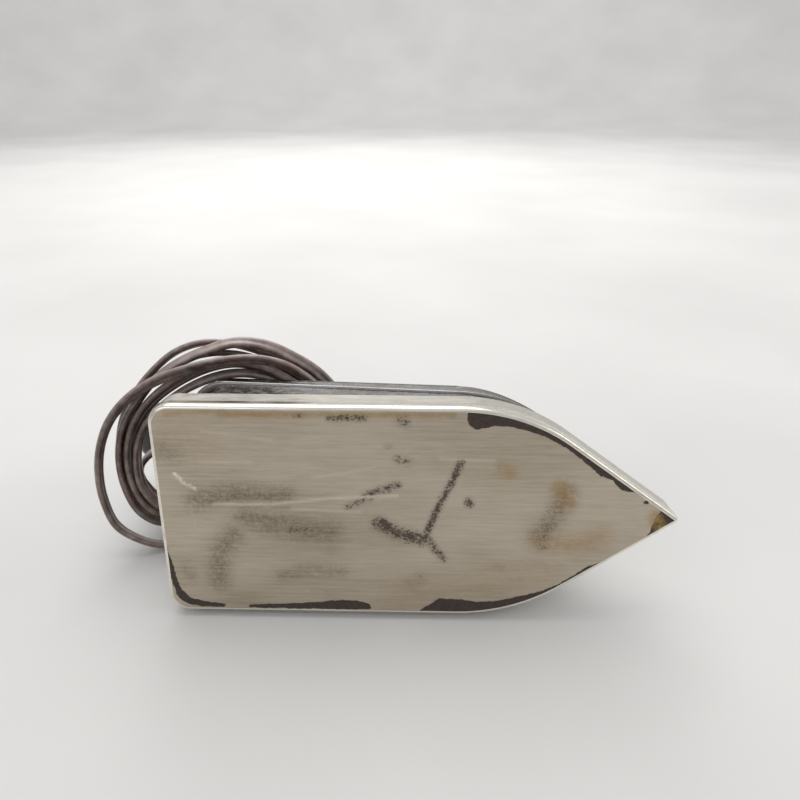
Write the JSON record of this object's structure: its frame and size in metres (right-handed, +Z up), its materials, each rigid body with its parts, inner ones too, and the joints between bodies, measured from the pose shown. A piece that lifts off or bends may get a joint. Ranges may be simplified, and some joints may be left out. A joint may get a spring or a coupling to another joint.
{
  "type": "electric flat iron",
  "caption": "Old electric flat iron lying on its side, with a plated hood, a black moulded handle, a heat dial and a coiled two-core flex with its plug.",
  "frame": {"origin": "middle of the iron's footprint on the table it lies on, without its flex and plug", "axes": "+X towards the nose, +Y away from the ironing face towards the handle, +Z up from the table. The iron lies on its left side, so its ironing face looks along -Y and slightly up."},
  "size_m": [0.2422, 0.1455, 0.0972],
  "materials": {
    "worn_plated_steel": "worn nickel plating over steel, brushed lengthways, rough 0.35",
    "plated_steel": "old nickel plating, fine scratches, rough 0.3",
    "bright_steel": "bright steel",
    "cast_iron": "as cast",
    "mica": "pressed mica sheet",
    "resistance_wire": "oxidised nickel-chromium wire",
    "mineral_board": "pressed mineral fibre board",
    "bakelite": "polished black phenolic moulding",
    "porcelain": "glazed porcelain",
    "brass": "turned and pressed brass",
    "aluminium": "satin aluminium scale",
    "rubber": "aged black rubber",
    "brown_flex": "shiny brown figure-eight flex"
  },
  "bodies": {
    "iron": {"soleplate": "worn_plated_steel", "mica_lower": "mica", "heating_ribbon": "resistance_wire", "mica_upper": "mica", "pressure_plate": "cast_iron", "insulation_board": "mineral_board", "stud_front": "bright_steel", "clamp_washer_front": "bright_steel", "clamp_nut_front": "bright_steel", "hood_washer_front": "bright_steel", "domed_nut_front": "bright_steel", "stud_rear": "bright_steel", "clamp_washer_rear": "bright_steel", "clamp_nut_rear": "bright_steel", "hood_washer_rear": "bright_steel", "domed_nut_rear": "bright_steel", "hood": "plated_steel", "handle": "bakelite", "handle_screw_front": "bright_steel", "handle_screw_rear": "bright_steel", "dial_plate": "aluminium", "control_block": "porcelain", "bimetal_strip": "brass", "contact_leaf": "brass", "control_rivet": "bright_steel", "terminal_block": "porcelain", "terminal_screw_live": "brass", "terminal_screw_neutral": "brass", "lead_live": "brass", "lead_neutral": "brass", "cord_sleeve": "rubber", "cord_inner": "brown_flex", "cord_lead": "brown_flex", "cord_coil": "brown_flex", "cord_end": "brown_flex", "plug_cover": "bakelite", "plug_base": "bakelite", "plug_pin_left": "brass", "plug_pin_right": "brass", "plug_screw": "brass"},
    "dial": {"heat_dial": "bakelite", "dial_shaft": "bright_steel"}
  },
  "joints": [
    {"name": "dial_turn", "type": "hinge", "parent": "iron", "child": "dial", "pos_m": [0.01196, -0.00577, 0.04087], "axis": [0.0966, 0.9863, -0.1335], "range_deg": [0, 270]}
  ]
}
